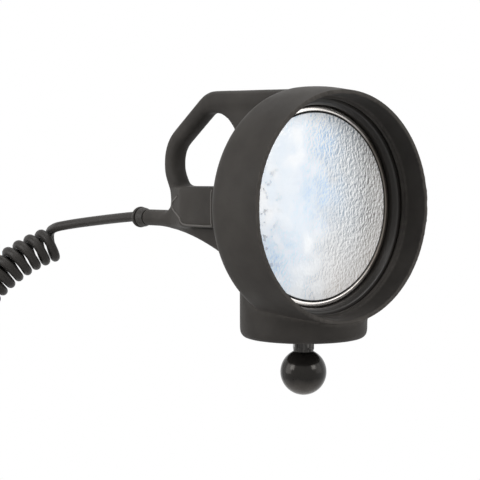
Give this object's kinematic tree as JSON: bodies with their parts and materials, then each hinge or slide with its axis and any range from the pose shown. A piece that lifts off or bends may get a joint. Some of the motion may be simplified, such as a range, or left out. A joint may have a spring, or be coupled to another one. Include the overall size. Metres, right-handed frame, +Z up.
{
  "type": "hand-held spotlight",
  "caption": "Hand-held rubber-cased spotlight with a sealed round lamp in a deep hood, a loop handle, a switch box, a curly cord with a power plug, and a ball foot.",
  "frame": {"origin": "centre of the ball under the foot pad", "axes": "+Z up along the stud of the ball, the lamp faces -Y, the handle and the cord outlet lie towards +Y, +X is the side with the switch"},
  "size_m": [0.1576, 0.3214, 0.4165],
  "materials": {
    "housing_rubber": "matte moulded",
    "ring_rubber": "satin",
    "bright_metal": "polished",
    "lens_glass": "pebbled",
    "cast_aluminium": "as cast",
    "reflector_mirror": "vacuum metallised",
    "board_white": "solder mask",
    "led_yellow": "phosphor",
    "steel": "zinc plated",
    "board_green": "solder mask",
    "dark_plastic": "moulded",
    "brass": "plain",
    "wire_red": "insulation",
    "wire_black": "insulation",
    "button_rubber": "satin",
    "ball_gloss": "glossy",
    "cord_black": "satin",
    "plug_black": "moulded"
  },
  "bodies": {
    "light": {"housing": "housing_rubber", "retaining_ring": "ring_rubber", "lamp_bezel": "bright_metal", "lens": "lens_glass", "lens_gasket": "ring_rubber", "lamp_body": "cast_aluminium", "reflector_array": "reflector_mirror", "led_board": "board_white", "leds": "led_yellow", "board_screws": "steel", "driver_board": "board_green", "driver_parts": "dark_plastic", "rear_insulator": "dark_plastic", "terminal_screws": "brass", "ring_terminals": "steel", "lead_lamp": "wire_red", "lead_return": "wire_black", "lead_switch": "wire_red", "switch_body": "dark_plastic", "switch_nut": "steel", "foot_plate": "steel", "foot_washer": "steel", "foot_nut": "steel", "ball_stud": "bright_metal", "ball": "ball_gloss", "cord_collar": "dark_plastic", "cable_inner": "cord_black", "cable_ferrule": "steel", "cord_lead": "cord_black", "cord_curls": "cord_black", "cord_tail": "cord_black", "plug_relief": "cord_black", "plug_body": "plug_black", "plug_nose_cap": "plug_black", "plug_spring": "steel"},
    "button": {"switch_button": "button_rubber"},
    "tip": {"plug_tip": "bright_metal", "plug_fuse": "steel"},
    "contact_left": {"plug_contact_left": "steel"},
    "contact_right": {"plug_contact_right": "steel"}
  },
  "joints": [
    {"name": "button_press", "type": "slide", "parent": "light", "child": "button", "axis": [-1, 0, 0], "range_m": [0, 0.002], "stiffness_N_per_m": 400},
    {"name": "plug_tip_press", "type": "slide", "parent": "light", "child": "tip", "axis": [0, 0, 1], "range_m": [0, 0.0025], "stiffness_N_per_m": 400, "deforming": ["plug_spring"]},
    {"name": "contact_left_press", "type": "slide", "parent": "light", "child": "contact_left", "axis": [1, 0, 0], "range_m": [0, 0.001], "stiffness_N_per_m": 400},
    {"name": "contact_right_press", "type": "slide", "parent": "light", "child": "contact_right", "axis": [-1, 0, 0], "range_m": [0, 0.001], "stiffness_N_per_m": 400}
  ]
}
